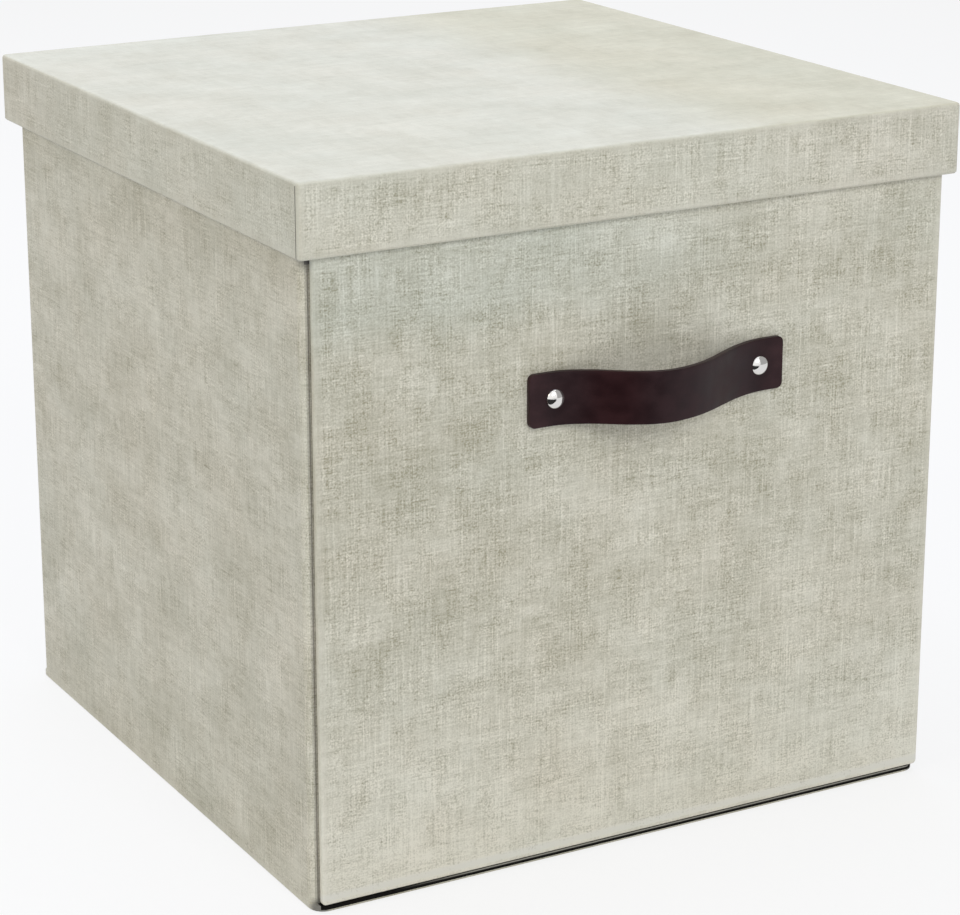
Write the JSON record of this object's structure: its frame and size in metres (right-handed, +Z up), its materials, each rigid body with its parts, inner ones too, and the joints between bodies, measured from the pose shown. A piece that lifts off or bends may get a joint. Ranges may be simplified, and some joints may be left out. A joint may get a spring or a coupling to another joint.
{
  "type": "storage box with lid",
  "caption": "Square knock-down storage box of paper-wrapped board with a lift-off tray lid, a loose floor board and a bowed leather pull on the front.",
  "frame": {"origin": "centre of the base's underside, on the floor the box stands on", "axes": "+Z up through the lid; -Y is the front panel with the leather pull; +X is to the right as seen from the front"},
  "size_m": [0.316, 0.3352, 0.31],
  "materials": {
    "linen_paper": "matte",
    "greyboard": "matte",
    "charcoal_lining": "matte",
    "black_cloth": "matte",
    "brown_leather": "satin",
    "polished_nickel": "polished",
    "stud_nickel": "satin",
    "gummed_tape": "matte"
  },
  "bodies": {
    "box": {"base_board": "greyboard", "base_cover": "linen_paper", "base_lining": "charcoal_lining", "front_hinge_cloth": "black_cloth", "back_hinge_cloth": "black_cloth", "left_wall_board": "greyboard", "right_wall_board": "greyboard", "left_front_flap_board": "greyboard", "right_front_flap_board": "greyboard", "left_back_flap_board": "greyboard", "right_back_flap_board": "greyboard", "left_wall_cover": "linen_paper", "right_wall_cover": "linen_paper", "left_wall_lining": "charcoal_lining", "right_wall_lining": "charcoal_lining", "front_board": "greyboard", "back_board": "greyboard", "front_cover": "linen_paper", "back_cover": "linen_paper", "front_lining": "charcoal_lining", "back_lining": "charcoal_lining", "stud_caps": "stud_nickel", "stud_sockets": "stud_nickel", "stud_balls": "stud_nickel", "stud_posts": "stud_nickel", "handle_strap": "brown_leather", "handle_rivets": "polished_nickel", "handle_washers": "stud_nickel"},
    "floor_insert": {"insert_board": "greyboard", "insert_cover": "charcoal_lining"},
    "lid": {"lid_top_board": "greyboard", "lid_front_rim_board": "greyboard", "lid_back_rim_board": "greyboard", "lid_left_rim_board": "greyboard", "lid_right_rim_board": "greyboard", "lid_corner_stays": "gummed_tape", "lid_cover": "linen_paper", "lid_lining": "charcoal_lining"}
  },
  "joints": [
    {"name": "lid_lift", "type": "slide", "parent": "box", "child": "lid", "axis": [0, 0, 1], "range_m": [0, 0.3]},
    {"name": "insert_lift", "type": "slide", "parent": "box", "child": "floor_insert", "axis": [0, 0, 1], "range_m": [0, 0.29]}
  ]
}
